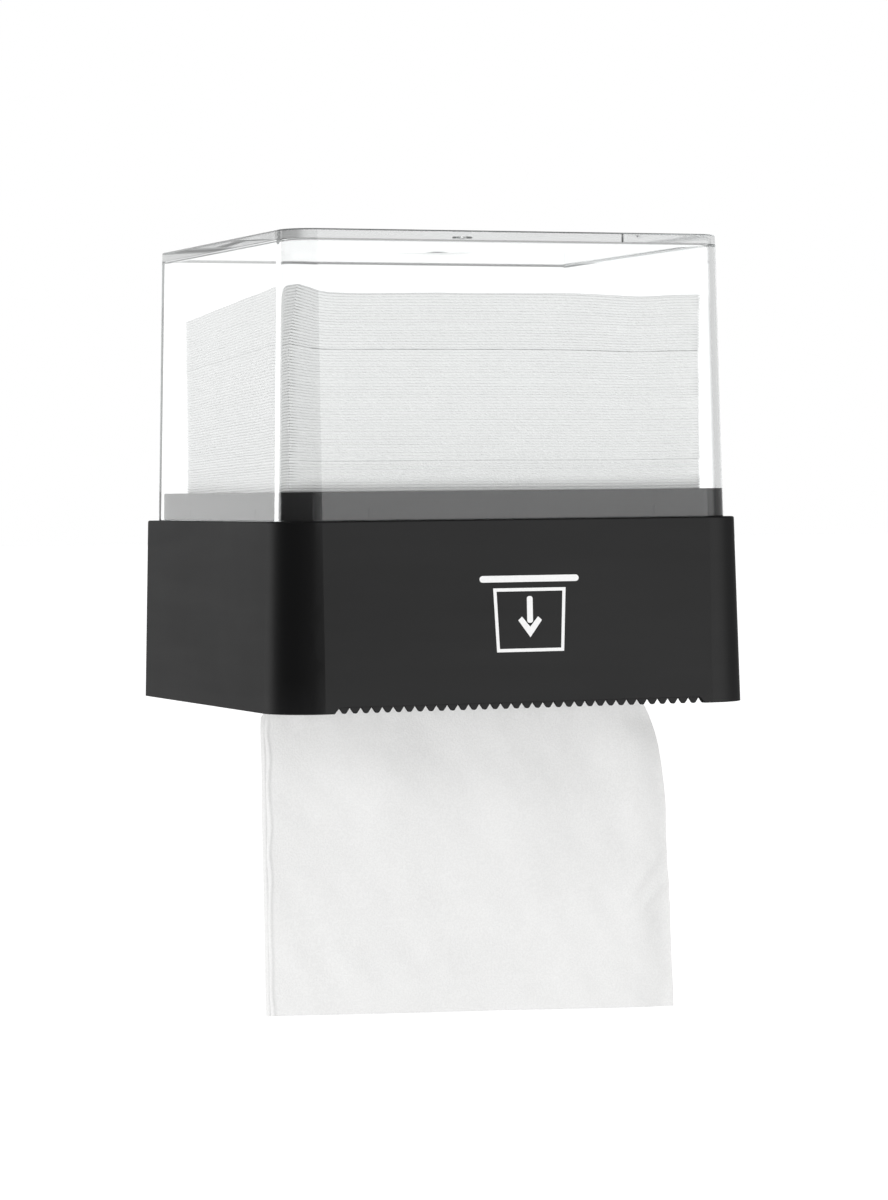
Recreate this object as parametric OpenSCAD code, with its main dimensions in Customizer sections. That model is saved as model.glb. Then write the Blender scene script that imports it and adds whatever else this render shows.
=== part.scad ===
// Wall-mounted napkin dispenser: a black base with an inner tray, a clear box cover over the
// tray's collar, a stack of interfolded napkins and one napkin hanging out of the slot.
// Origin: middle of the back, on the wall plane (y = 0), level with the housing's lower edge.
// +X is to the right seen from the front, the front is towards -Y and +Z is up.

/* [Housing] */
// Width of the housing at its lower edge
base_w = 250; // [246:1:270]
// Depth of the housing at its lower edge, from the wall to the front
base_d = 218; // [214:1:230]
// Height of the housing, from its lower edge to the shoulder
base_h = 92; // [88:1:105]
// Lean of the walls: how far each one moves in over the housing's height
base_lean = 2.5; // [1:0.1:3.5]
// Radius of the front vertical corners at the lower edge
base_r = 23.5; // [18:0.5:26]
// Wall thickness of the housing
base_t = 2.5; // [2:0.1:3]
// Thickness of the shoulder
deck_t = 3; // [2.5:0.1:3.5]
// Rounding of the shoulder's outer edge
deck_round = 1; // [0.5:0.1:1.5]

/* [Cover] */
// Visible width of the shoulder, from the housing's top edge to the cover
ledge = 4.6; // [4:0.1:5]
// Height of the cover above the shoulder
cover_h = 140; // [125:1:170]
// Lean of the cover's walls over its height
cover_lean = 2.9; // [1:0.1:4]
// Wall thickness of the cover
cover_t = 3; // [2.5:0.1:3.5]
// Thickness of the cover's top
cover_top_t = 4.5; // [3:0.1:5]
// Rounding of the cover's upper edge
cover_round = 1.5; // [0.5:0.1:2]
// Gap between the back of the cover and the wall
cover_back = 2.5; // [1.5:0.1:3]
// Radius of the cover's back corners at the shoulder
cover_back_r = 8; // [8:0.5:10]
// Diameter of the round gate mark on the cover's top
gate_d = 11; // [6:0.5:14]

/* [Tray] */
// Height of the collar above the shoulder
collar_h = 14; // [10:0.5:18]
// Wall and floor thickness of the tray
tray_t = 2.5; // [2:0.1:3]
// Height of the tray's floor above the housing's lower edge
floor_z = 9; // [8:0.5:14]
// Clearance between the collar and the inside of the cover
collar_gap = 0.35; // [0.3:0.05:0.5]

/* [Slot] */
// Length of the dispensing slot
slot_w = 200; // [180:1:204]
// Width of the dispensing slot, front to back
slot_d = 46; // [36:1:56]
// Distance of the slot's front edge from the wall
slot_front = 156; // [150:1:165]
// Radius of the slot's corners
slot_r = 10; // [6:1:16]
// Radius of the rounded lip round the slot
lip_r = 2.2; // [1.6:0.1:2.4]

/* [Tear bar] */
// Number of notches between the teeth
notches = 35; // [25:1:35]
// Distance from one notch to the next
tooth_pitch = 5.55; // [5:0.05:5.6]
// Depth of the notches
tooth_depth = 3.1; // [2.5:0.1:3.5]
// Radius of the tooth tips
tip_r = 1.3; // [0.8:0.1:1.6]
// Thickness of the tear bar
bar_t = 1.6; // [1.2:0.1:2]

/* [Napkins] */
// Width of a folded napkin
napkin_w = 214; // [190:1:214]
// Depth of a folded napkin, front to back
napkin_d = 169; // [150:1:169]
// Height of each of the three lower bundles
bundle_h = 55; // [40:1:55]
// Height of the top bundle
top_bundle_h = 29; // [15:1:29]
// How far the hanging napkin reaches below the housing
hang = 152; // [90:1:155]

/* [Wall mounting] */
// Width of the rectangle of wall screws
mount_w = 160; // [150:1:170]
// Height of the rectangle of wall screws
mount_h = 26; // [24:1:28]
// Height of the lower row of wall screws
mount_z = 52; // [46:1:54]
// Diameter of the holes for the wall screws
mount_hole_d = 5; // [4:0.1:6]

/* [Hidden] */
$fn = 96;
eps = 0.5;
touch = 0.1;                      // clearance between soft pieces that lie on each other
base_k = base_lean / base_h;      // slope of the housing's walls
cover_k = cover_lean / cover_h;   // slope of the cover's walls
deck_z = base_h - deck_t;         // underside of the shoulder

// Cover at the shoulder
cover_w = base_w - 2 * (base_lean + ledge);
cover_d = base_d - base_lean - ledge - cover_back;
cover_r = base_r - base_lean - ledge;

// Collar at the shoulder: the inside of the cover less the clearance
collar_in = cover_t + collar_gap;
collar_w = cover_w - 2 * collar_in;
collar_d = cover_d - 2 * collar_in;
collar_back = cover_back + collar_in;
collar_r = cover_r - collar_in;
collar_back_r = cover_back_r - collar_in;
collar_z = deck_z - 0.2;          // underside of the level ledge inside the collar
opening_gap = 0.25;               // round the collar where it passes the shoulder

// Well that the napkins stand in
well_gap = 1.5;
well_w = napkin_w + 2 * well_gap;
well_d = napkin_d + 2 * well_gap;
well_back = 22;
well_r = 3;
floor_top = floor_z + tray_t;
lip_z = floor_top - lip_r;        // middle of the slot's rounded lip

// Self-tapping screws, drawn with their core diameter so that they fit their pilot holes
screw_d = 2.9;
pilot_d = 3;
clear_d = 3.6;
head_d = 6.6;
head_h = 2.2;

// Screws that hold the tray's ledge down on four bosses in the housing
boss_d = 7;
boss_z = 60;
tray_screw_l = 12;
front_boss_y = -(well_back + well_d + tray_t + 0.5 + boss_d / 2);
rear_boss_y = -(well_back - tray_t - 1.5 - boss_d / 2);
tray_bosses = [[-85, front_boss_y], [85, front_boss_y], [-45, rear_boss_y], [45, rear_boss_y]];

// Tear bar: an L-shaped strip behind the cut-away lower edge of the front wall
teeth_w = (notches - 1) * tooth_pitch;   // from the first notch to the last
bar_w = teeth_w + 14;
bar_h = 14;
bar_leg = 11;                     // depth of the L's level leg
bar_face_t = 1.2;                 // front wall left in front of the tear bar
bar_y = -(base_d - bar_face_t);
bar_boss_y = bar_y + 7;
bar_boss_h = 10;
bar_screw_l = 9;
bar_bosses = [-87, -29, 29, 87];

// Wall screws
screw_well_d = 14;
head_pocket_d = 10;
mount_floor = 5;                  // plastic under each screw head

// Hanging napkin
sheet_t = 1.2;
sheet_y = -(slot_front - 2.1);
stack_z = floor_top + touch;      // underside of the stack

// ---- Shapes that repeat ----

// Flat outline with its back edge on y = 0, front corners of radius rf and back corners of rr
module outline(w, d, rf, rr) {
    for (s = [-1, 1]) {
        translate([s * (w / 2 - rf), -(d - rf)]) circle(rf);
        translate([s * (w / 2 - rr), -rr]) circle(rr);
    }
    translate([-w / 2 + rf, -d]) square([w - 2 * rf, d - rr]);
    translate([-w / 2, -(d - rf)]) square([w, d - rf - rr]);
    translate([-w / 2 + rr, -(d - rf)]) square([w - 2 * rr, d - rf]);
}

// Side of a wall as [inset, height] points: it leans in by k per millimetre of height, measured
// from its place at z = 0, and its upper edge is rounded by e
function side(z0, z1, k, e) = concat([[k * z0, z0]], e > 0
    ? [for (a = [0 : 10 : 90]) [k * (z1 - e) + e * (1 - cos(a)), z1 - e * (1 - sin(a))]]
    : [[k * z1, z1]]);

function backwards(points) = [for (i = [len(points) - 1 : -1 : 0]) points[i]];

// Stands its children's flat shape in the YZ plane and gives it the length l along X
module across(l) {
    rotate([90, 0, 90]) translate([0, 0, -l / 2]) linear_extrude(l) children();
}

// Half section of a corner of radius r, turned about the corner's axis
module turned(wall, r, z0, z1) {
    rotate_extrude() polygon(concat([[0, z0]], [for (p = wall) [r - p[0], p[1]]], [[0, z1]]));
}

// Solid from z0 to z1 whose outline at z = 0 is outline(w, d, rf, rr), with walls that lean in by
// k, a back wall that leans by kb, and an upper edge rounded by e. A square back stays sharp.
module leaning_block(w, d, z0, z1, k, rf, rr = 0, kb = 0, e = 0) {
    wall = side(z0, z1, k, e);
    back = side(z0, z1, kb, rr > 0 ? e : 0);
    across(w - 2 * rf)
        polygon(concat([for (p = wall) [p[0] - d, p[1]]], [[-d / 2, z1], [-d / 2, z0]]));
    across(w - 2 * (rr > 0 ? rr : rf))
        polygon(concat([for (p = back) [-p[0], p[1]]], [[-d / 2 - 1, z1], [-d / 2 - 1, z0]]));
    translate([0, -rr, 0]) rotate([90, 0, 0]) linear_extrude(d - rf - rr)
        polygon(concat([for (p = wall) [w / 2 - p[0], p[1]]],
            backwards([for (p = wall) [p[0] - w / 2, p[1]]])));
    for (s = [-1, 1]) {
        translate([s * (w / 2 - rf), -(d - rf), 0]) turned(wall, rf, z0, z1);
        if (rr > 0) translate([s * (w / 2 - rr), -rr, 0]) turned(wall, rr, z0, z1);
    }
}

// Pan-head self-tapping screw: head below z = 0 with a cross recess, shank up to z = l
module screw(l) {
    tip = 2;
    difference() {
        union() {
            translate([0, 0, -head_h]) cylinder(h = head_h / 2, d1 = head_d * 0.7, d2 = head_d);
            translate([0, 0, -head_h / 2]) cylinder(h = head_h / 2, d = head_d);
            translate([0, 0, -head_h / 2]) cylinder(h = head_h / 2 + l - tip, d = screw_d);
            translate([0, 0, l - tip]) cylinder(h = tip, d1 = screw_d, d2 = 0.6);
        }
        for (a = [0, 90]) rotate([0, 0, a])
            translate([-1.7, -0.4, -head_h - eps]) cube([3.4, 0.8, eps + 1.1]);
    }
}

// ---- Housing ----

// Walls, shoulder with the opening for the collar, and the solid back
module housing_shell() {
    difference() {
        leaning_block(base_w, base_d, 0, base_h, base_k, base_r, e = deck_round);
        translate([0, -base_t, 0]) leaning_block(base_w - 2 * base_t, base_d - 2 * base_t,
            -eps, deck_z, base_k, base_r - base_t);
        translate([0, opening_gap - collar_back, deck_z - eps]) linear_extrude(deck_t + 2 * eps)
            outline(collar_w + 2 * opening_gap, collar_d + 2 * opening_gap,
                collar_r + opening_gap, collar_back_r + opening_gap);
        teeth_opening();
        at_bar() translate([-bar_w / 2 - 0.2, 0, -eps])
            cube([bar_w + 0.4, base_t, bar_h + 2 * eps]);
    }
}

// Opening in the front wall over the teeth, its ends in line with the outermost notches
module teeth_opening() {
    half = teeth_w / 2;
    translate([0, -base_d + base_t, 0]) rotate([90, 0, 0]) linear_extrude(base_t + eps)
        polygon([[-half - tooth_pitch / 2, -eps], [-half - tooth_pitch / 2, 0],
            [-half, tooth_depth], [half, tooth_depth],
            [half + tooth_pitch / 2, 0], [half + tooth_pitch / 2, -eps]]);
}

// Front face of the tear bar, parallel to the leaning front wall
module at_bar() {
    translate([0, bar_y, 0]) rotate([-atan(base_k), 0, 0]) children();
}

// Axes of the four wall screws, from the wall forwards
module at_mounts() {
    for (x = [-mount_w / 2, mount_w / 2], z = [mount_z, mount_z + mount_h])
        translate([x, 0, z]) rotate([90, 0, 0]) children();
}

// Boss that carries the tray's ledge, with a web to the nearest wall
module tray_boss(p) {
    web_y = p[1] < -base_d / 2 ? -(base_d - base_lean - base_t / 2) : -base_t / 2;
    translate([p[0], p[1], boss_z]) cylinder(h = collar_z - boss_z, d = boss_d);
    translate([p[0] - 1.5, min(p[1], web_y), boss_z])
        cube([3, abs(web_y - p[1]), collar_z - boss_z]);
}

// Boss for a tear-bar screw, with a web to the front wall
module bar_boss(x) {
    translate([x, bar_boss_y, bar_h]) cylinder(h = bar_boss_h, d = boss_d);
    translate([x - 2, -base_d + base_t / 2, bar_h])
        cube([4, bar_boss_y + base_d - base_t / 2, bar_boss_h]);
}

module base_housing() color([0.13, 0.13, 0.135]) difference() {
    union() {
        housing_shell();
        for (p = tray_bosses) tray_boss(p);
        for (x = bar_bosses) bar_boss(x);
        at_mounts() translate([0, 0, base_t / 2])
            cylinder(h = well_back - tray_t - 1 - base_t / 2, d = screw_well_d);
    }
    for (p = tray_bosses) translate([p[0], p[1], collar_z - tray_screw_l])
        cylinder(h = tray_screw_l + eps, d = pilot_d);
    for (x = bar_bosses) translate([x, bar_boss_y, bar_h - eps])
        cylinder(h = bar_screw_l, d = pilot_d);
    at_mounts() {
        translate([0, 0, -eps]) cylinder(h = well_back, d = mount_hole_d);
        translate([0, 0, mount_floor]) cylinder(h = well_back, d = head_pocket_d);
    }
}

// ---- Tray ----

// Outline of the slot, grown by g on every side
module slot_outline(g) {
    translate([0, slot_d - slot_front + g])
        outline(slot_w + 2 * g, slot_d + 2 * g, slot_r + g, slot_r + g);
}

// Section of the slot's lip as [distance from the slot's edge, height]: a round nose that runs
// into the floor above and tapers into it below
lip_section = concat([for (a = [-90 : 15 : 90]) [lip_r * (1 - cos(a)), lip_z + lip_r * sin(a)]],
    [[lip_r + 1, floor_top], [lip_r + 2.5, floor_z]]);

module slot_lip() {
    x = slot_w / 2 - slot_r;
    y0 = slot_r - slot_front;
    y1 = slot_d - slot_front - slot_r;
    for (s = [-1, 1]) {
        translate([0, s < 0 ? y0 - slot_r : y1 + slot_r, 0]) scale([1, s, 1])
            across(2 * x) polygon(lip_section);
        translate([s * slot_w / 2, (y0 + y1) / 2, 0]) rotate([0, 0, -s * 90])
            across(y1 - y0) polygon(lip_section);
        for (y = [y0, y1]) translate([s * x, y, 0])
            rotate([0, 0, y == y0 ? (s > 0 ? -90 : 180) : (s > 0 ? 0 : 90)])
                rotate_extrude(angle = 90) translate([slot_r, 0]) polygon(lip_section);
    }
}

// Small upright ribs on the collar that centre the cover
module collar_pips() {
    pip = 0.15;
    for (s = [-1, 1], y = [-55, -160])
        translate([s * (collar_w / 2 - 1 + pip), y, base_h + 1]) cylinder(h = 5, r = 1);
    for (x = [-75, 75], y = [-collar_back - 1 + pip, -collar_back - collar_d + 1 - pip])
        translate([x, y, base_h + 1]) cylinder(h = 5, r = 1);
}

// Collar, with the level ledge at its foot
module collar() {
    translate([0, -collar_back, 0]) difference() {
        union() {
            translate([0, 0, collar_z]) linear_extrude(base_h - collar_z)
                outline(collar_w, collar_d, collar_r, collar_back_r);
            translate([0, 0, base_h])
                leaning_block(collar_w, collar_d, 0, collar_h, cover_k, collar_r, collar_back_r, cover_k);
        }
        translate([0, -tray_t, collar_z + tray_t]) linear_extrude(collar_h + deck_t)
            outline(collar_w - 2 * tray_t - 1, collar_d - 2 * tray_t - 0.5, collar_r - tray_t, 1);
    }
}

module napkin_tray() color([0.11, 0.11, 0.115]) {
    difference() {
        union() {
            collar();
            collar_pips();
            translate([0, tray_t - well_back, floor_z]) linear_extrude(collar_z + tray_t - floor_z)
                outline(well_w + 2 * tray_t, well_d + 2 * tray_t, well_r + tray_t, well_r + tray_t);
        }
        translate([0, -well_back, floor_top]) linear_extrude(base_h)
            outline(well_w, well_d, well_r, well_r);
        translate([0, 0, floor_z - eps]) linear_extrude(tray_t + 2 * eps) slot_outline(lip_r);
        for (p = tray_bosses) translate([p[0], p[1], collar_z - eps])
            cylinder(h = tray_t + 2 * eps, d = clear_d);
        // ways in for the wall screws and the screwdriver
        at_mounts() translate([0, 0, well_back - tray_t - eps])
            cylinder(h = tray_t + 2 * eps, d = head_pocket_d + 2);
    }
    slot_lip();
}

module tray_screws() color([0.62, 0.62, 0.6])
    for (p = tray_bosses) translate([p[0], p[1], collar_z + tray_t])
        rotate([180, 0, 0]) screw(tray_screw_l);

// ---- Tear bar ----

// One notch: sharp at the top, with straight flanks that meet the round tips of the teeth
module notch() {
    half = tooth_pitch / 2;
    reach = norm([half, tooth_depth - tip_r]);
    tangent = atan2(tooth_depth - tip_r, -half) + acos(tip_r / reach);
    flank = [for (t = [0 : 0.25 : 1]) let (a = tangent + t * (270 - tangent))
        [half + tip_r * cos(a), tip_r + tip_r * sin(a)]];
    polygon(concat([[-half, -eps]], backwards([for (p = flank) [-p[0], p[1]]]),
        [[0, tooth_depth]], flank, [[half, -eps]]));
}

module tear_bar() color([0.12, 0.12, 0.125]) difference() {
    union() {
        at_bar() rotate([90, 0, 0]) translate([0, 0, -bar_t]) linear_extrude(bar_t) difference() {
            translate([-bar_w / 2, 0]) square([bar_w, bar_h - bar_t / 2]);
            for (i = [0 : notches - 1]) translate([i * tooth_pitch - teeth_w / 2, 0]) notch();
        }
        translate([-bar_w / 2, bar_y + bar_t / 2, bar_h - bar_t]) cube([bar_w, bar_leg, bar_t]);
    }
    for (x = bar_bosses) translate([x, bar_boss_y, bar_h - 4]) cylinder(h = 6, d = clear_d);
}

module tear_bar_screws() color([0.62, 0.62, 0.6])
    for (x = bar_bosses) translate([x, bar_boss_y, bar_h - bar_t]) screw(bar_screw_l);

// ---- Cover ----

module clear_cover() color([0.9, 0.93, 0.95, 0.35]) translate([0, -cover_back, base_h]) {
    difference() {
        leaning_block(cover_w, cover_d, 0, cover_h, cover_k, cover_r, cover_back_r, cover_k,
            cover_round);
        translate([0, -cover_t, 0]) leaning_block(cover_w - 2 * cover_t, cover_d - 2 * cover_t,
            -eps, cover_h - cover_top_t, cover_k, cover_r - cover_t, cover_back_r - cover_t, cover_k);
        translate([0, -cover_d / 2, cover_h - 0.5]) cylinder(h = 1, d = gate_d);
    }
}

// ---- Napkins ----

module bundle(n, h) color([0.93, 0.93, 0.92])
    translate([-napkin_w / 2, -well_back - well_gap - napkin_d, stack_z + (n - 1) * (bundle_h + touch)])
        cube([napkin_w, napkin_d, h]);

module napkin_bundle_1() bundle(1, bundle_h);
module napkin_bundle_2() bundle(2, bundle_h);
module napkin_bundle_3() bundle(3, bundle_h);
module napkin_bundle_4() bundle(4, top_bundle_h);

// Narrow where it passes the slot, full width below the housing, and hanging a little askew
module hanging_napkin() color([0.95, 0.95, 0.94]) {
    neck = slot_w / 2 - 7;
    half = napkin_w / 2;
    translate([0, sheet_y + sheet_t, 0]) rotate([90, 0, 0]) linear_extrude(sheet_t)
        polygon([[-neck, floor_top], [-neck, 5], [-half - 6, -4], [-half - 4.3, -hang + 2],
            [half, -hang - 5.4], [half - 4.2, -71], [half - 9.2, -17], [neck - 2, -8],
            [neck - 3, floor_top]]);
}

base_housing();
napkin_tray();
tray_screws();
tear_bar();
tear_bar_screws();
clear_cover();
napkin_bundle_1();
napkin_bundle_2();
napkin_bundle_3();
napkin_bundle_4();
hanging_napkin();
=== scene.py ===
import math

import bmesh
import bpy
import numpy as np
from mathutils import Matrix, Vector


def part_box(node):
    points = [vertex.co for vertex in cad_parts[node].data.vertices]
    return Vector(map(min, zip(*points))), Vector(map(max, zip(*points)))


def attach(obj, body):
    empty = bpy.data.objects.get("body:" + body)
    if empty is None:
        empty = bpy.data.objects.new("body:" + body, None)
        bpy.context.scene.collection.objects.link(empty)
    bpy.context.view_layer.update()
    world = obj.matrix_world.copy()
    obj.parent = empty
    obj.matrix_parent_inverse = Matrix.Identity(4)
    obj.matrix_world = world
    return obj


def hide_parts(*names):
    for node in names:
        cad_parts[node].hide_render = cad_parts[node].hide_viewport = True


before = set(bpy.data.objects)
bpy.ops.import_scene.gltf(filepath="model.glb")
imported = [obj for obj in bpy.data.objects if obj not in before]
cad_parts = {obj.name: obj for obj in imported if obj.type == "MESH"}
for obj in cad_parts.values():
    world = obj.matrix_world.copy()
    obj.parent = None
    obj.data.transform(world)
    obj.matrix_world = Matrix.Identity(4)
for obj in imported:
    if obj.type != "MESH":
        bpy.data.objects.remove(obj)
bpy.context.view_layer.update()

MM = 0.001
SCENE = bpy.context.scene
WHITE = (1, 1, 1, 1)
TRAPPED = 7.5  # light with more bounces than this has run along inside a wall of the clear cover


# ---- Materials ----

class Nodes:
    """A short way to build a material's node tree."""

    def __init__(self, tree):
        self.tree = tree
        self.tree.nodes.clear()

    def add(self, kind, inputs=None, **settings):
        node = self.tree.nodes.new("ShaderNode" + kind)
        for key, value in settings.items():
            setattr(node, key, value)
        for key, value in (inputs or {}).items():
            if isinstance(value, bpy.types.NodeSocket):
                self.tree.links.new(value, node.inputs[key])
            else:
                node.inputs[key].default_value = value
        return node

    def math(self, operation, *values):
        return self.add("Math", dict(enumerate(values)), operation=operation).outputs[0]

    def noise(self, vector, scale, detail=2.0, roughness=0.5):
        return self.add("TexNoise", {"Vector": vector, "Scale": scale, "Detail": detail,
                                     "Roughness": roughness}).outputs["Fac"]

    def span(self, value, low, high, to_low, to_high, smooth=False):
        """Maps low..high to to_low..to_high, clamped."""
        kind = "SMOOTHSTEP" if smooth else "LINEAR"
        return self.add("MapRange", {"Value": value, "From Min": low, "From Max": high,
                                     "To Min": to_low, "To Max": to_high},
                        interpolation_type=kind).outputs["Result"]

    def place(self):
        """Position on the object, in metres."""
        return self.add("TexCoord").outputs["Object"]

    def scaled(self, vector, x, y, z):
        return self.add("Mapping", {"Vector": vector, "Scale": (x, y, z)}).outputs["Vector"]

    def grey(self, tone, blue=1.0):
        """Grey of this tone, with its blue share changed a little for a cool or warm cast."""
        blue_part = self.math("MULTIPLY", tone, blue)
        return self.add("CombineColor", {0: tone, 1: tone, 2: blue_part}).outputs[0]

    def shader_mix(self, factor, first, second):
        return self.add("MixShader", {0: factor, 1: first, 2: second}).outputs[0]

    def bump(self, strength, distance, height):
        return self.add("Bump", {"Strength": strength, "Distance": distance,
                                 "Height": height}).outputs[0]


def material(name):
    made = bpy.data.materials.new(name)
    made.use_nodes = True
    return made, Nodes(made.node_tree)


def black_plastic(name, shade, rough, grain, edge_radius):
    """Moulded black plastic with a fine satin grain, faint flow marks and edges painted lighter, partly as
    wear and partly as a painted highlight where a rim catches the light.
    """
    made, n = material(name)
    place = n.place()
    fine = n.noise(place, 2600, 2, 0.6)
    cloud = n.noise(place, 14, 3)
    flow = n.noise(n.scaled(place, 9, 9, 90), 1, 2)
    # painted highlight and wear: sharp edges, found by pointiness, get a lighter colour that stands in for
    # the light a rim catches
    edge = n.span(n.add("NewGeometry").outputs["Pointiness"], 0.52, 0.62, 0, 1)
    tone = n.math("MULTIPLY_ADD", cloud, 0.3 * shade, 0.85 * shade)
    tone = n.math("MULTIPLY_ADD", edge, 0.8 * shade, tone)
    color = n.grey(tone, 1.04)
    roughness = n.math("MULTIPLY_ADD", fine, 0.1, n.math("MULTIPLY_ADD", flow, 0.06, rough - 0.08))
    # the grain hides part of the mirror light that smooth plastic shows at a low angle
    facing = n.add("LayerWeight", {"Blend": 0.5}).outputs["Facing"]
    ior = n.math("MULTIPLY_ADD", cloud, 0.03, n.span(facing, 0.05, 0.7, 1.37, 1.085))
    rounded = n.add("Bevel", {"Radius": edge_radius}, samples=4).outputs["Normal"]
    bump = n.add("Bump", {"Strength": grain, "Distance": 0.02 * MM, "Height": fine, "Normal": rounded})
    shader = n.add("BsdfPrincipled", {"Base Color": color, "Roughness": roughness, "IOR": ior,
                                      "Normal": bump.outputs[0]})
    n.add("OutputMaterial", {"Surface": shader.outputs[0]})
    return made


def clear_plastic():
    """Clear moulded plastic: refracts what is seen through it and lets the light in without a shadow."""
    made, n = material("clear_plastic")
    place = n.place()
    scuffs = n.noise(n.scaled(place, 60, 60, 420), 1, 4, 0.7)
    roughness = n.span(scuffs, 0.68, 0.85, 0.0, 0.02)
    glass = n.add("BsdfGlass", {"Color": (0.993, 0.996, 0.996, 1), "Roughness": roughness,
                                "IOR": 1.5}).outputs[0]
    path = n.add("LightPath").outputs
    open_to = n.math("MAXIMUM", path["Is Shadow Ray"], path["Is Diffuse Ray"])
    straight = n.add("BsdfTransparent", {"Color": (0.975, 0.98, 0.98, 1)}).outputs[0]
    mixed = n.shader_mix(open_to, glass, straight)
    # light that has run along inside a wall for a while comes out, a little dimmed
    deep = n.math("GREATER_THAN", path["Ray Depth"], TRAPPED)
    spent = n.add("BsdfTransparent", {"Color": (0.8, 0.81, 0.81, 1)}).outputs[0]
    mixed = n.shader_mix(deep, mixed, spent)
    # seen along its length the plastic looks grey
    length = n.add("VolumeAbsorption", {"Color": (0, 0, 0, 1), "Density": 2.3}).outputs[0]
    n.add("OutputMaterial", {"Surface": mixed, "Volume": length})
    return made


def tissue(name, shade, through, weave_size, emboss):
    """Bleached tissue: matte fibres with a fine woven emboss. through is the share of light it lets pass."""
    made, n = material(name)
    place = n.place()
    fibres = n.noise(n.scaled(place, 900, 900, 2300), 1, 3, 0.65)
    cloud = n.noise(place, 45, 3)
    # a wave texture of scale 0.314 repeats once a metre
    ribs = n.add("TexWave", {"Vector": place, "Scale": 0.314 / weave_size, "Distortion": 6.0,
                             "Detail": 3.0}, bands_direction="Z").outputs["Fac"]
    pebbles = n.span(n.noise(place, 1 / weave_size, 1, 0.4), 0.35, 0.65, 0, 1, smooth=True)
    weave = n.math("MULTIPLY", n.math("MULTIPLY_ADD", ribs, 0.3, 0.7), pebbles)
    tone = n.math("MULTIPLY_ADD", fibres, 0.03 * emboss, shade - 0.02)
    tone = n.math("MULTIPLY_ADD", cloud, 0.03, tone)
    tone = n.math("MULTIPLY_ADD", weave, 0.06 * emboss, tone)
    color = n.grey(tone, 0.995)
    bump = n.bump(emboss, 0.12 * MM, n.math("MULTIPLY_ADD", weave, 0.6, fibres))
    front = n.add("BsdfPrincipled", {"Base Color": color, "Roughness": 0.9, "Specular IOR Level": 0.15,
                                     "Sheen Weight": 0.08, "Normal": bump}).outputs[0]
    back = n.add("BsdfTranslucent", {"Color": color, "Normal": bump}).outputs[0]
    n.add("OutputMaterial", {"Surface": n.shader_mix(through, front, back)})
    return made


def zinc():
    """Bright zinc plating, faintly brushed."""
    made, n = material("zinc_screw")
    place = n.place()
    brushed = n.noise(n.scaled(place, 4000, 900, 900), 1, 2)
    tone = n.math("MULTIPLY_ADD", brushed, 0.12, 0.5)
    bump = n.bump(0.2, 0.02 * MM, brushed)
    shader = n.add("BsdfPrincipled", {"Base Color": n.grey(tone, 0.97), "Metallic": 1.0, "Normal": bump,
                                      "Roughness": n.math("MULTIPLY_ADD", brushed, 0.15, 0.22)})
    n.add("OutputMaterial", {"Surface": shader.outputs[0]})
    return made


def print_ink():
    """White pad-printed ink, a little uneven."""
    made, n = material("print_ink")
    place = n.place()
    uneven = n.noise(place, 900, 3)
    tone = n.math("MULTIPLY_ADD", uneven, 0.12, 0.74)
    shader = n.add("BsdfPrincipled", {"Base Color": n.grey(tone), "Roughness": 0.55,
                                      "Normal": n.bump(0.2, 0.02 * MM, uneven)})
    n.add("OutputMaterial", {"Surface": shader.outputs[0]})
    return made


# ---- Mesh helpers ----

def piece(name, vertices, faces, finish, body, sharp=math.radians(40)):
    """Smooth-shaded object that rides on a body. Edges sharper than the angle sharp, if any, stay sharp."""
    mesh = bpy.data.meshes.new(name)
    mesh.from_pydata([tuple(v) for v in vertices], [], faces)
    mesh.materials.append(finish)
    shell = bmesh.new()
    shell.from_mesh(mesh)
    bmesh.ops.recalc_face_normals(shell, faces=shell.faces)
    shell.to_mesh(mesh)
    shell.free()
    mesh.shade_smooth()
    if sharp:
        mesh.set_sharp_from_angle(angle=sharp)
    obj = bpy.data.objects.new(name, mesh)
    SCENE.collection.objects.link(obj)
    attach(obj, body)
    return obj


def bridge(first, second, count):
    """Faces between two closed rings of count vertices that start at these indices."""
    return [(first + i, first + (i + 1) % count, second + (i + 1) % count, second + i)
            for i in range(count)]


def loft(rings):
    """Closed skin over a list of equal closed rings; a ring of one point is a pole."""
    vertices, faces, starts = [], [], []
    for ring in rings:
        starts.append(len(vertices))
        vertices.extend(ring)
    for k in range(len(rings) - 1):
        a, b, count = starts[k], starts[k + 1], max(len(rings[k]), len(rings[k + 1]))
        if len(rings[k]) == 1:
            faces += [(a, b + i, b + (i + 1) % count) for i in range(count)]
        elif len(rings[k + 1]) == 1:
            faces += [(a + i, b, a + (i + 1) % count) for i in range(count)]
        else:
            faces += bridge(a, b, count)
    return vertices, faces


def smooth(value):
    """Soft step from 0 to 1 as the value goes from 0 to 1."""
    value = np.clip(value, 0.0, 1.0)
    return value * value * (3 - 2 * value)


class Waves:
    """Smooth seeded noise of two coordinates in metres: a sum of a few plane waves, about -1 to 1."""

    def __init__(self, seed, shortest, longest, count=7):
        rng = np.random.default_rng(seed)
        length = np.exp(rng.uniform(np.log(shortest), np.log(longest), count))
        angle = rng.uniform(0, 2 * np.pi, count)
        self.k = 2 * np.pi / length[:, None] * np.stack([np.cos(angle), np.sin(angle)], 1)
        self.phase = rng.uniform(0, 2 * np.pi, count)
        self.weight = np.sqrt(length / length.sum()) * 1.2

    def __call__(self, a, b):
        total = 0.0
        for k, phase, weight in zip(self.k, self.phase, self.weight):
            total = total + weight * np.sin(k[0] * a + k[1] * b + phase)
        return total


# ---- Clear cover ----

NEAR = 0.3 * MM  # distance of the extra points beside a rounding, which keep the flat beside it flat


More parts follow.
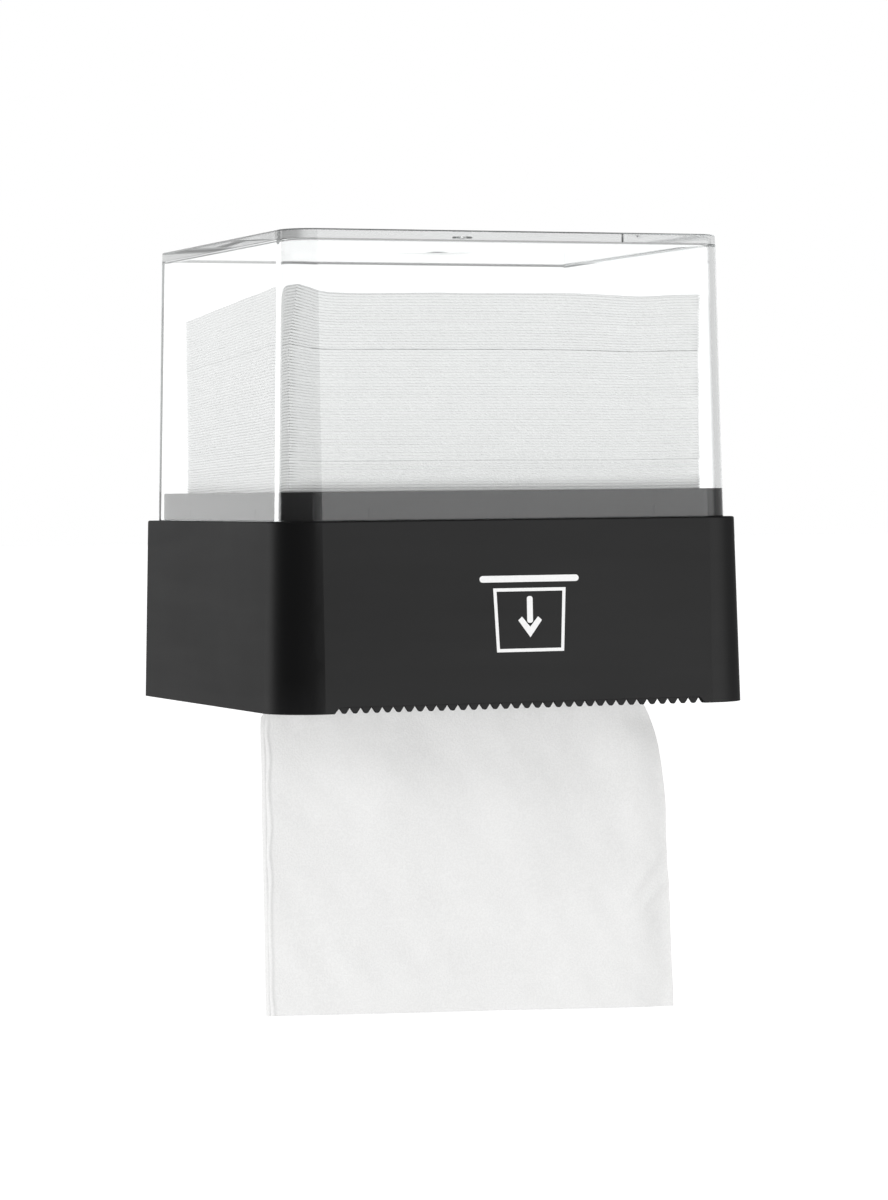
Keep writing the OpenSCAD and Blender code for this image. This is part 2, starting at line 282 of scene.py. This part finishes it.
def rounded_loop(half_w, back, front, r_front, r_back, z, arc=16, side=8):
    """Closed loop of points round a rectangle with rounded corners, the same count for every call."""
    corners = [(-half_w + r_front, front + r_front, r_front, 180),
               (half_w - r_front, front + r_front, r_front, 270),
               (half_w - r_back, back - r_back, r_back, 0),
               (-half_w + r_back, back - r_back, r_back, 90)]
    arcs = []
    for x, y, r, start in corners:
        angles = np.radians(np.linspace(start, start + 90, arc + 1))
        arcs.append(np.stack([x + r * np.cos(angles), y + r * np.sin(angles)], 1))
    points = []
    for i in range(4):
        points.extend(arcs[i])
        a, b = arcs[i][-1], arcs[(i + 1) % 4][0]
        near = NEAR / np.linalg.norm(b - a)
        shares = np.concatenate([[near], np.linspace(0, 1, side + 1)[1:-1], [1 - near]])
        points.extend(a + (b - a) * t for t in shares)
    return [Vector((p[0], p[1], z)) for p in points]


def circle_of(loop, centre, radius, z):
    """Circle whose points lie in the same directions from the centre as the loop's points."""
    ring = []
    for p in loop:
        d = Vector((p.x - centre.x, p.y - centre.y, 0)).normalized()
        ring.append(Vector((centre.x + d.x * radius, centre.y + d.y * radius, z)))
    return ring


def cap_rings(loop, centre, radius, z, shares):
    """Rings that turn a loop into a circle, at these shares of the way, and the circle itself."""
    circle = circle_of(loop, centre, radius, z)
    return [[a.lerp(b, t) for a, b in zip(loop, circle)] for t in shares] + [circle]


def clear_cover():
    """Four walls and a thick top as one closed skin: down the outside, round the foot and up the inside."""
    low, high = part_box("clear_cover")
    wall, top_wall = 3.0 * MM, 4.5 * MM
    slope = 2.9 * MM / (high.z - low.z)
    r_front, r_back = 18.4 * MM, 2.4 * MM
    edge, inner_edge, foot = 1.1 * MM, 1.8 * MM, 0.35 * MM  # radii of the roundings
    gate_r, gate_depth = 5.5 * MM, 0.5 * MM
    sink_r, sink_depth = 6.6 * MM, 0.8 * MM
    wall_steps = np.linspace(0, 1, 8)[1:-1]
    centre = Vector((0, (low.y + high.y) / 2, 0))
    z_top, z_ceiling, z_foot = high.z, high.z - top_wall, low.z + foot

    def loop(z, inset):
        """Outline of the cover at height z, moved in from the outer face by inset."""
        lean = slope * (z - low.z)
        d = lean + inset
        return rounded_loop(high.x - d, high.y - d, low.y + d,
                            max(r_front - lean - inset, 0.6 * MM),
                            max(r_back - 0.3 * lean - inset, 0.5 * MM), z)

    def walls(z_from, z_to, inset):
        return [loop(z_from * (1 - t) + z_to * t, inset) for t in wall_steps]

    # outside: the gate mark, a shallow round recess with a stub in its middle, and the top
    outer_top = loop(z_top, edge)
    stub_z = z_top - 0.28 * MM
    rings = [[Vector((0, centre.y, stub_z))], circle_of(outer_top, centre, 1.3 * MM, stub_z)]
    for r in (1.75 * MM, 4.9 * MM):
        rings.append(circle_of(outer_top, centre, r, z_top - gate_depth))
    rings += reversed(cap_rings(outer_top, centre, gate_r, z_top, (0.0, 0.004, 0.3, 0.6, 0.996)))
    # outside: the upper edge and the walls
    for a in np.radians(np.linspace(10, 90, 9)):
        rings.append(loop(z_top - edge * (1 - math.cos(a)), edge * (1 - math.sin(a))))
    rings.append(loop(z_top - edge - NEAR, 0))
    rings += walls(z_top - edge, z_foot, 0)
    rings.append(loop(z_foot + NEAR, 0))
    # the foot
    for z, inset in ((foot, 0), (foot * 0.3, foot * 0.3), (0, foot),
                     (0, wall - foot), (foot * 0.3, wall - foot * 0.3), (foot, wall)):
        rings.append(loop(low.z + z, inset))
    # inside: the walls and the edge of the ceiling
    rings.append(loop(z_foot + NEAR, wall))
    rings += walls(z_foot, z_ceiling - inner_edge, wall)
    rings.append(loop(z_ceiling - inner_edge - NEAR, wall))
    for a in np.radians(np.linspace(0, 90, 10)):
        rings.append(loop(z_ceiling - inner_edge * (1 - math.sin(a)),
                          wall + inner_edge * (1 - math.cos(a))))
    # inside: the ceiling, with a shallow sink mark opposite the gate
    inner_top = rings[-1]
    rings += cap_rings(inner_top, centre, sink_r, z_ceiling, (0.004, 0.3, 0.6, 0.85))
    for r, rise in ((5.4, 0.12), (4.2, 0.38), (3.0, 0.62), (1.4, 0.78)):
        rings.append(circle_of(inner_top, centre, r * MM, z_ceiling + rise * MM))
    rings.append([Vector((0, centre.y, z_ceiling + sink_depth))])
    vertices, faces = loft(rings)
    made = piece("clear_cover_shell", vertices, faces, clear_plastic(), "cover")
    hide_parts("clear_cover")


# ---- Napkin stack ----

def spaced(low, high, step, rim):
    """Coordinates about step apart, with two more near each end for a rounded corner of radius rim."""
    count = max(int(round((high - low - 2 * rim) / step)), 1)
    return np.concatenate([[low, low + rim * 0.35], np.linspace(low + rim, high - rim, count + 1),
                           [high - rim * 0.35, high]])


class Stack:
    """The pile of folded napkins: every layer follows one height field, so no layer cuts another."""

    CORNER = 0.9 * MM  # rounding of the pile's vertical edges
    SETBACK = 0.35 * MM  # from the side of the CAD block to the folded edges

    # Side of one folded layer, as (share of its thickness, depth in mm): a groove, then the round fold.
    # The depth of a common groove is drawn for each layer.
    FOLD = ((0.3, 0.1), (0.6, 0.0), (0.88, 0.15))
    WIDE_GAP = ((0.0, 1.8), (0.15, 1.5), (0.33, 0.1), (0.6, 0.0), (0.88, 0.15))
    OPEN_EDGE = ((-0.3, 1.9), (0.2, 1.6), (0.34, 0.05))

    def __init__(self, finish):
        low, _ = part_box("napkin_bundle_1")
        _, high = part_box("napkin_bundle_4")
        self.low, self.high = low, high
        self.finish = finish
        self.xs = spaced(low.x, high.x, 5.2 * MM, 1.0 * MM)
        self.ys = spaced(low.y, high.y, 5.6 * MM, 1.0 * MM)
        nx, ny = len(self.xs), len(self.ys)
        # the grid cells round the edge, once round
        self.edge = ([(i, 0) for i in range(nx - 1)] + [(nx - 1, j) for j in range(ny - 1)]
                     + [(i, ny - 1) for i in range(nx - 1, 0, -1)] + [(0, j) for j in range(ny - 1, 0, -1)])
        self.plan = np.array([(self.xs[i], self.ys[j]) for i, j in self.edge])
        centre = np.array([(low.x + high.x) / 2, (low.y + high.y) / 2])
        half = np.array([(high.x - low.x) / 2, (high.y - low.y) / 2])
        inner = np.clip(self.plan - centre, -(half - self.CORNER), half - self.CORNER)
        out = (self.plan - centre) - inner
        length = np.linalg.norm(out, axis=1, keepdims=True)
        self.out = out / np.maximum(length, 1e-9)
        # the corner points move in, which rounds the pile's vertical edges
        self.trim = np.clip(length[:, 0] - self.CORNER, 0, None)
        steps = np.linalg.norm(np.diff(self.plan, axis=0), axis=1)
        self.along = np.concatenate([[0], np.cumsum(steps)])
        self.sway = Waves(5, 0.05, 0.24)
        self.ripple = Waves(8, 0.022, 0.07)

    @staticmethod
    def bulge(x, middle, width):
        """Smooth bump across the pile; middle and width in millimetres."""
        return np.exp(-((x - middle * MM) / (width * MM)) ** 2)

    def place(self, x, y, h):
        """Where a point of the flat pile at height h ends up once the napkins lean, bulge and slip.

        All the amounts are in millimetres at the top of the pile, and share is how far up it is."""
        share = np.clip(h / (self.high.z - self.low.z), 0, 1)
        front = (self.high.y - y) / (self.high.y - self.low.y)  # 0 at the wall, 1 at the front
        slope = 7.8 * front - 10.7
        # the left edge stands up towards the front and peaks at the corner
        ramp = 5.2 * np.clip(front / 0.84, 0, 1) - 1.2 * smooth((front - 0.84) / 0.16)
        corner = ramp * self.bulge(x, self.low.x / MM, 9.5)
        hump = 0.5 * self.bulge(x, 25, 35) - 0.4 * self.bulge(x, -76, 22)
        dip = -1.3 * self.bulge(x, 74, 19) - 0.4 * smooth((x / MM - 85) / 20)
        waves = 0.25 * self.sway(x, y) * (0.25 + 0.75 * share) + 0.05 * self.ripple(x, y + 2.3 * h) * share
        lift = slope * share ** 1.6 + corner * share ** 3 + (hump + dip) * front * share ** 4 + waves
        # the pile spreads at the bottom front left, and its top bundle has slipped to the right
        side = x / self.high.x
        slipped = np.clip((share - 0.83) / 0.17, 0, 1)
        left = (5.2 * slipped - 3.2) * front + 0.3 * (1 - front)
        slip = np.where(side < 0, -side * left, side * (0.4 + 1.4 * slipped))
        return x + MM * slip, y, self.low.z + h + MM * lift

    def thin(self, x):
        """Share of its thickness that the uppermost napkin loses, pressed flat on the left."""
        across = (x - self.low.x) / (self.high.x - self.low.x)
        return 0.6 * (1 - smooth(across * 2 - 0.9))

    def bundle(self, number, layers, gaps):
        """One bundle of folded napkins. gaps holds the layers that a wider, darker gap lies under."""
        low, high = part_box(f"napkin_bundle_{number}")
        uppermost = number == 4
        rng = np.random.default_rng(100 + number)
        shift = rng.normal(0, 0.16 * MM, 2)
        pitch = (high.z - low.z) / layers
        tops = np.concatenate([[0], np.cumsum(rng.normal(1.0, 0.05, layers))])
        tops = tops / tops[-1] * layers * pitch + (low.z - self.low.z)
        bend = Waves(40 + number, 0.03, 0.16)
        depth_wave = Waves(70 + number, 0.02, 0.09)
        rings = []
        drift = 0.0
        for i in range(layers):
            drift = 0.7 * drift + rng.normal(0, 0.035 * MM)
            loose = rng.normal(0, 0.03 * MM)
            groove = 1.2 + 0.3 * rng.random()
            pressed = uppermost and i == layers - 1
            if pressed:
                profile = self.OPEN_EDGE
            elif i in gaps:
                profile = self.WIDE_GAP
            elif i == 0:
                profile = ((0.0, 0.7), (0.08, 0.6)) + self.FOLD
            else:
                profile = ((0.0, groove), (0.1, groove)) + self.FOLD
            for t, depth in profile:
                h = tops[i] + t * (tops[i + 1] - tops[i])
                if pressed:
                    h = h - (h - tops[i]) * self.thin(self.plan[:, 0])
                wave = 0.12 * bend(self.along, 3.1 * h) + 0.04 * depth_wave(self.along, 5.7 * i * pitch)
                rings.append(self.ring(shift, drift + loose + MM * (wave - depth) - self.SETBACK, h))
        # the last ring closes the top layer
        h = tops[-1] - 0.02 * MM
        layer = tops[-1] - tops[-2]
        if uppermost:
            h = h - layer * self.thin(self.plan[:, 0])
        rings.append(self.ring(shift, -0.1 * MM - self.SETBACK, h))
        count = len(self.edge)
        vertices = [tuple(p) for ring in rings for p in ring]
        faces = []
        for k in range(len(rings) - 1):
            faces += bridge(k * count, (k + 1) * count, count)
        faces += self.cap(vertices, 0, tops[0])
        faces += self.cap(vertices, (len(rings) - 1) * count, tops[-1], layer if uppermost else None)
        made = piece(f"napkins_{number}", vertices, faces, self.finish, "base", sharp=None)
        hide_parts(f"napkin_bundle_{number}")

    def ring(self, shift, offset, h):
        """Points once round the pile at height h, moved out by offset."""
        xy = self.plan + shift + self.out * (offset - self.trim * 0.8)[:, None]
        return np.column_stack(self.place(xy[:, 0], xy[:, 1], h))

    def cap(self, vertices, start, h, crumpled=None):
        """Grid over the ring that starts at this vertex. A crumpled one is the top of the pile, and
        gives the thickness of its napkin."""
        nx, ny = len(self.xs), len(self.ys)
        index = {cell: start + k for k, cell in enumerate(self.edge)}
        crease = Waves(3, 0.025, 0.12)
        middle_y = (self.low.y + self.high.y) / 2
        for j in range(1, ny - 1):
            for i in range(1, nx - 1):
                x, y, z = (float(c) for c in self.place(self.xs[i], self.ys[j], h))
                if crumpled:
                    z -= crumpled * float(self.thin(self.xs[i]))
                    inside = smooth(min(i, nx - 1 - i, j, ny - 1 - j) / 4)
                    fold = 0.54 * smooth((y - middle_y) / (4 * MM))
                    z += inside * MM * (0.35 * crease(x, y) + fold)
                index[i, j] = len(vertices)
                vertices.append((x, y, z))
        return [(index[i, j], index[i + 1, j], index[i + 1, j + 1], index[i, j + 1])
                for j in range(ny - 1) for i in range(nx - 1)]


# ---- Hanging napkin ----

# Left edge of the sheet as (height, place), in millimetres, from its lower end up to the slot
LEFT_EDGE = ((-150, -111.4), (-75, -112.3), (-12, -112.9), (-4, -112.6), (0, -109), (5, -98), (11.5, -93.5))

# Soft swellings of the sheet towards the front, in millimetres and degrees, as
# (middle x, middle z, half length, half width, height, turn)
SWELLINGS = ((-50, -33, 27, 20, 3.8, 0), (28, -52, 31, 25, 4.0, 0), (40, -92, 40, 16, 0.9, 0),
             (86, -22, 18, 15, 1.5, 0), (-30, -104, 85, 9, 0.7, 2), (-60, -78, 40, 12, 0.6, -4),
             (-40, -134, 16, 4, 0.25, 12), (-72, -141, 20, 4, 0.2, 8),
             # creases at the right edge
             (94, -88, 17, 3.4, 1.0, 48), (97, -101, 19, 3.0, 1.1, 40), (90, -117, 24, 4.5, 0.7, 28),
             (60, -126, 22, 5, 0.35, 20))


def swelling(x, z, middle_x, middle_z, length, width, height, turn):
    """Height of one oval swelling at a point; everything in millimetres, and turn in degrees."""
    dx, dz = x - middle_x, z - middle_z
    c, s = math.cos(math.radians(turn)), math.sin(math.radians(turn))
    return height * np.exp(-(((dx * c + dz * s) / length) ** 2 + ((dz * c - dx * s) / width) ** 2))


def hanging_napkin(finish):
    """One folded napkin of two plies, gathered where it passes the slot, hanging in soft folds."""
    low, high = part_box("hanging_napkin")
    y0 = (low.y + high.y) / 2
    top, bottom_left, bottom_right = high.z, low.z + 6.0 * MM, low.z - 1.4 * MM
    left_z, left_x = np.array(LEFT_EDGE).T * MM
    nu, nv = 150, 104
    even = np.linspace(0, 1, nu + 1)
    # columns closer together towards the side edges
    dense = even - 0.7 * np.sin(2 * np.pi * even) / (2 * np.pi)
    uu, vv = np.meshgrid(dense, np.linspace(0, 1, nv + 1))
    big, small, fine = Waves(21, 0.06, 0.16, 6), Waves(22, 0.018, 0.05, 8), Waves(23, 0.006, 0.014, 8)

    def ply(side):
        """Grid of points of the front (-1) or rear (1) ply."""
        z = top + (bottom_left + (bottom_right - bottom_left) * uu - top) * vv
        x_left = np.interp(z, left_z, left_x)
        # the right edge swings in to the slot in one curve
        x_right = MM * (103.1 - 0.038 * z / MM - 13.0 * np.exp(np.minimum(z, 0) / (14 * MM)))
        x_right += 0.25 * MM * small(z * 0.5, z * 0) * smooth(-z / (60 * MM))
        # the rear ply shows as a narrow strip at the left edge
        x_left = x_left + ((1.9 + 0.5 * small(z, z * 0.3)) * MM if side < 0 else 0.0)
        x = x_left + (x_right - x_left) * uu
        # shares that grow from the slot downwards, slowly and quickly
        drop = smooth((4 * MM - z) / (70 * MM))
        free = smooth((8 * MM - z) / (22 * MM))
        y = -MM * free * sum(swelling(x / MM, z / MM, *values) for values in SWELLINGS)
        y += MM * (0.55 * big(x, z) * drop + 0.13 * small(x, z * 1.4) * free + 0.03 * fine(x, z))
        # the plies part a little along the left edge
        y -= 0.55 * MM * np.exp(-(((x - x_left - 1.6 * MM) / (1.1 * MM)) ** 2)) * free
        # pleats where the sheet is gathered into the slot
        pleat = np.sin(x * 2 * np.pi / (17 * MM) + 0.8 * big(x, x * 0))
        y += 0.45 * MM * pleat * np.exp(-(((z - 4 * MM) / (11 * MM)) ** 2))
        # the right edge curls back, most of all where it turns in to the slot
        y += 2.2 * MM * smooth((x - 80 * MM) / (26 * MM)) ** 2 * free
        y += 4.0 * MM * smooth((x - 70 * MM) / (32 * MM)) * smooth((z + 45 * MM) / (50 * MM)) * free
        y = np.clip(y, -5.5 * MM, 7.5 * MM) * (0.15 + 0.85 * free)
        gap = (0.18 + 0.12 * np.clip(small(x + 0.3, z), 0, 1)) * MM
        # the plies meet at the edges
        border = np.minimum.reduce([uu * 30, (1 - uu) * 30, (1 - vv) * 30, np.ones_like(uu)])
        return np.stack([x, y0 + y + side * gap * (0.35 + 0.65 * np.clip(border, 0, 1)), z], -1)

    front, back = ply(-1), ply(1)
    columns, rows = nu + 1, nv + 1
    vertices = [tuple(p) for p in front.reshape(-1, 3)] + [tuple(p) for p in back.reshape(-1, 3)]
    shift = columns * rows
    faces = []
    for j in range(nv):
        for i in range(nu):
            a = j * columns + i
            faces.append((a, a + 1, a + 1 + columns, a + columns))
            faces.append((shift + a, shift + a + columns, shift + a + 1 + columns, shift + a + 1))
    # the strip that joins the plies runs once round the sheet
    rim = ([(0, i) for i in range(nu)] + [(j, nu) for j in range(nv)]
           + [(nv, i) for i in range(nu, 0, -1)] + [(j, 0) for j in range(nv, 0, -1)])
    rim = [j * columns + i for j, i in rim]
    for k, a in enumerate(rim):
        b = rim[(k + 1) % len(rim)]
        faces.append((a, a + shift, b + shift, b))
    made = piece("napkin_sheet", vertices, faces, finish, "napkin", sharp=math.radians(60))
    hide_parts("hanging_napkin")


# ---- Printed mark ----

def rounded_bar(w, h, r, z, steps=6):
    """Outline of an upright rectangle with round corners, in millimetres, its middle at height z."""
    points = []
    for cx, cz, start in ((w / 2 - r, h / 2 - r, 0), (-w / 2 + r, h / 2 - r, 90),
                          (-w / 2 + r, -h / 2 + r, 180), (w / 2 - r, -h / 2 + r, 270)):
        for a in np.radians(np.linspace(start, start + 90, steps + 1)):
            points.append((cx + r * math.cos(a), z + cz + r * math.sin(a)))
    return points


def printed_mark(ink):
    """Generic pictogram of a napkin pulled down out of a slot, printed on the front of the base."""
    low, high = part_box("base_housing")
    lean = math.atan2(2.5 * MM, high.z - low.z)  # of the base's front wall
    middle_x, middle_z = 4.5 * MM, 46 * MM
    proud, sunk = 0.12 * MM, -0.3 * MM  # the print's two faces, from the wall's surface
    vertices, faces = [], []

    def band(a, b, count):
        """Faces between two closed outlines of count vertices that start at a and b."""
        for i in range(count):
            j = (i + 1) % count
            faces.append((a + i, a + j, b + j, b + i))

    def plate(outline, hole=()):
        """Thin printed plate from an outline in millimetres, with a hole of as many points if given."""
        count = len(outline)
        start = len(vertices)
        for y in (proud, sunk):
            vertices.extend((x * MM, y, z * MM) for x, z in list(outline) + list(hole))
        step = count + len(hole)
        band(start, start + step, count)
        if hole:
            band(start, start + count, count)
            band(start + step, start + step + count, count)
            band(start + count, start + step + count, count)
        else:
            faces.append(tuple(range(start, start + count)))
            faces.append(tuple(range(start + step, start + step + count)))

    slot = rounded_bar(52, 3.2, 1.6, 17)
    sheet = [(-19, 12.5), (19, 12.5), (17.6, -18.5), (-17.6, -18.5)]
    inside = [(-17.3, 10.9), (17.3, 10.9), (16.1, -16.9), (-16.1, -16.9)]
    shaft = rounded_bar(3.0, 13, 1.2, 2.0)
    arrow = [(-6.2, -3.2), (0, -11.5), (6.2, -3.2), (4.2, -1.4), (0, -6.4), (-4.2, -1.4)]
    plate(slot)
    plate(sheet, inside)
    plate(shaft)
    plate(arrow)
    made = piece("printed_mark", vertices, faces, ink, "base", sharp=math.radians(30))
    # the shapes are drawn with their face towards +Y, and the front of the base faces -Y
    to_front = Matrix.Scale(-1, 4, (0, 1, 0))
    place = Matrix.Translation((middle_x, low.y + math.tan(lean) * middle_z, middle_z))
    made.data.transform(place @ Matrix.Rotation(-lean, 4, "X") @ to_front)
    made.data.flip_normals()


# ---- Stage ----

def world_light():
    """White studio, which differs by the kind of ray.

    The camera sees plain white, and matte surfaces get light from a soft dome. Mirrored and refracted
    rays see a bright back, a strip at the left, a large soft box right of the front and a dark gap in
    between. Those that leave the cover's thick top have bounced about inside it and see an even studio."""
    world = bpy.data.worlds.new("studio")
    SCENE.world = world
    world.use_nodes = True
    n = Nodes(world.node_tree)
    path = n.add("LightPath").outputs
    axes = n.add("SeparateXYZ", {0: n.add("TexCoord").outputs["Generated"]}).outputs
    # direction in degrees: 0 is the front, 90 is the right and -90 is the left
    towards_front = n.math("MULTIPLY", axes["Y"], -1.0)
    turn = n.math("MULTIPLY", n.math("ARCTAN2", axes["X"], towards_front), 180 / math.pi)
    away = n.math("ABSOLUTE", turn)
    slant = n.math("ABSOLUTE", axes["Z"])

    def between(low, high, low_soft, high_soft):
        """1 between two directions, with soft ends."""
        rise = n.span(turn, low - low_soft, low + low_soft, 0, 1, smooth=True)
        fall = n.span(turn, high - high_soft, high + high_soft, 1, 0, smooth=True)
        return n.math("MULTIPLY", rise, fall)

    def background(strength):
        return n.add("Background", {"Color": WHITE, "Strength": strength}).outputs[0]

    # the studio
    not_above = n.span(axes["Z"], 0.45, 0.7, 1, 0, smooth=True)
    not_below = n.span(axes["Z"], -0.6, -0.4, 0, 1, smooth=True)
    gap = n.math("MULTIPLY", between(-118, 15.5, 4, 0.8), n.math("MULTIPLY", not_above, not_below))
    soft_box = between(15.5, 70, 0.8, 10)
    strip = between(-150, -120, 5, 3)
    back = n.span(away, 120, 150, 0, 1, smooth=True)
    glow = n.math("MULTIPLY_ADD", back, 0.72, 0.55)
    glow = n.math("MULTIPLY_ADD", strip, 1.3, glow)
    glow = n.math("MULTIPLY_ADD", soft_box, 1.62, glow)
    glow = n.math("MULTIPLY", glow, n.math("MULTIPLY_ADD", gap, -0.97, 1.0))
    glow = n.math("MULTIPLY", glow, n.span(slant, 0.2, 0.55, 1, 0.2, smooth=True))
    # the even studio
    few = n.math("LESS_THAN", path["Transmission Depth"], 3.5)
    guided = n.math("MULTIPLY", path["Is Transmission Ray"], few)
    rear = n.span(away, 138, 152, 0, 1, smooth=True)
    even = n.math("MULTIPLY_ADD", n.math("ADD", rear, between(12, 76, 3, 6)), 0.5, 0.7)
    even = n.math("MULTIPLY", even, n.span(slant, 0.35, 0.75, 1, 0.45, smooth=True))
    strength = n.span(guided, 0, 1, glow, even)
    # light that ran along inside the walls to the right comes out dim
    to_right = n.math("GREATER_THAN", turn, 0.0)
    spent = n.math("MULTIPLY", n.math("GREATER_THAN", path["Ray Depth"], TRAPPED), to_right)
    strength = n.math("MULTIPLY", strength, n.math("MULTIPLY_ADD", spent, -0.7, 1.0))
    # the dome is brightest at the back, with a little more light from the left
    from_left = n.span(axes["X"], -1.0, 0.2, 0.16, 0, smooth=True)
    dome = n.math("ADD", from_left, n.span(axes["Y"], -0.3, 0.6, 0.4, 0.95, smooth=True))

    mixed = n.shader_mix(path["Is Diffuse Ray"], background(strength), background(dome))
    mixed = n.shader_mix(path["Is Camera Ray"], mixed, background(1.0))
    n.add("OutputWorld", {"Surface": mixed})


def key_light():
    """Large soft light from the front left, a little low so that it reaches in under the base."""
    data = bpy.data.lights.new("key_light", "SUN")
    data.energy = 2.4
    data.angle = math.radians(30)
    obj = bpy.data.objects.new("key_light", data)
    obj.rotation_euler = Vector((0.42, 0.9, 0.14)).to_track_quat("-Z", "Y").to_euler()
    obj.visible_glossy = obj.visible_transmission = False
    SCENE.collection.objects.link(obj)


def floor():
    """Pale floor below the napkin. Only the camera sees it, so it neither shows in the clear cover nor
    shades the low key light."""
    level, half_size = -0.32, 30.0
    made, n = material("pale_floor")
    tone = n.math("MULTIPLY_ADD", n.noise(n.place(), 6, 3), 0.02, 0.93)
    color = n.grey(tone)
    shader = n.add("BsdfPrincipled", {"Base Color": color, "Roughness": 0.8, "Specular IOR Level": 0.1,
                                      "Emission Color": color, "Emission Strength": 0.5}).outputs[0]
    n.add("OutputMaterial", {"Surface": shader})
    mesh = bpy.data.meshes.new("floor")
    corners = [(x * half_size, y * half_size, 0) for x, y in ((-1, -1), (1, -1), (1, 1), (-1, 1))]
    mesh.from_pydata(corners, [], [(0, 1, 2, 3)])
    mesh.materials.append(made)
    obj = bpy.data.objects.new("floor", mesh)
    obj.location = (0, 0, level)
    obj.visible_glossy = obj.visible_diffuse = obj.visible_transmission = obj.visible_shadow = False
    SCENE.collection.objects.link(obj)


def camera():
    """Long lens from the front left, about level with the top of the base."""
    place = (-0.7274, -1.9957, 0.1055)
    yaw, pitch, roll = (math.radians(a) for a in (21.122, -1.564, -0.579))
    forward = Vector((math.sin(yaw) * math.cos(pitch), math.cos(yaw) * math.cos(pitch), math.sin(pitch)))
    right = Vector((math.cos(yaw), -math.sin(yaw), 0))
    up = right.cross(forward)
    x = right * math.cos(roll) + up * math.sin(roll)
    y = up * math.cos(roll) - right * math.sin(roll)
    data = bpy.data.cameras.new("camera")
    data.sensor_fit = "VERTICAL"
    data.sensor_height = 36
    data.lens = 118.84
    data.clip_start = 0.05
    data.clip_end = 100
    obj = bpy.data.objects.new("camera", data)
    obj.matrix_world = Matrix.Translation(place) @ Matrix((x, y, -forward)).transposed().to_4x4()
    SCENE.collection.objects.link(obj)
    SCENE.camera = obj


def finish_cad_nodes():
    """Materials of the CAD nodes that stay in view."""
    housing_black = black_plastic("black_plastic", 0.0046, 0.44, 0.5, 0.35 * MM)
    tray_black = black_plastic("tray_plastic", 0.0044, 0.42, 0.4, 0.8 * MM)
    metal = zinc()
    for node, finish in {"base_housing": housing_black, "tear_bar": housing_black,
                         "napkin_tray": tray_black, "tray_screws": metal, "tear_bar_screws": metal}.items():
        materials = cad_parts[node].data.materials
        materials.clear()
        materials.append(finish)


# ---- The scene ----

SCENE.view_settings.view_transform = "Standard"
SCENE.cycles.glossy_bounces = 8  # for the light inside the cover's walls
world_light()
key_light()
floor()
camera()

finish_cad_nodes()
clear_cover()
stack = Stack(tissue("folded_tissue", 0.78, 0.08, 1.2 * MM, 0.04))
for number, layers, gaps in ((1, 40, ()), (2, 40, ()), (3, 40, ()), (4, 21, (0, 5, 12))):
    stack.bundle(number, layers, gaps)
hanging_napkin(tissue("sheet_tissue", 0.815, 0.22, 0.95 * MM, 0.6))
printed_mark(print_ink())
